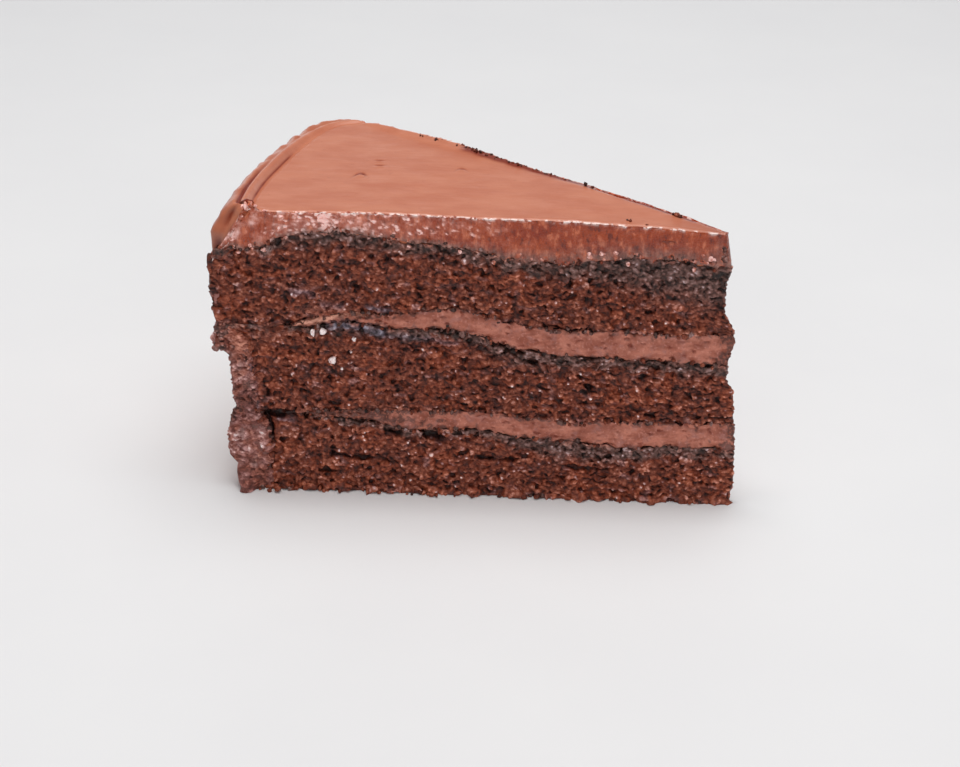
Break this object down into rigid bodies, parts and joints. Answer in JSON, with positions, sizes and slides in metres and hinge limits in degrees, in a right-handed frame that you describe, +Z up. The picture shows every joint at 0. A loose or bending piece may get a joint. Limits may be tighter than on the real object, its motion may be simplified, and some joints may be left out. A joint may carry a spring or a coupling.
{
  "type": "slice of chocolate cake",
  "caption": "Wedge slice of round chocolate layer cake with creamy filling between the crumb layers and smooth frosting over the top and down the rim.",
  "frame": {"origin": "middle of the bounding box at the height of the flat base", "axes": "+Z up; +X from the frosted rim to the tip along the front cut; the front cut faces -Y"},
  "size_m": [0.1176, 0.0648, 0.0706],
  "materials": {
    "crumb": "matte, open dark chocolate crumb",
    "filling": "satin chocolate cream",
    "frosting": "satin milk chocolate frosting"
  },
  "bodies": {
    "root": {"cake_bottom": "crumb", "filling_lower": "filling", "cake_middle": "crumb", "filling_upper": "filling", "cake_top": "crumb", "frosting": "frosting"}
  },
  "joints": []
}
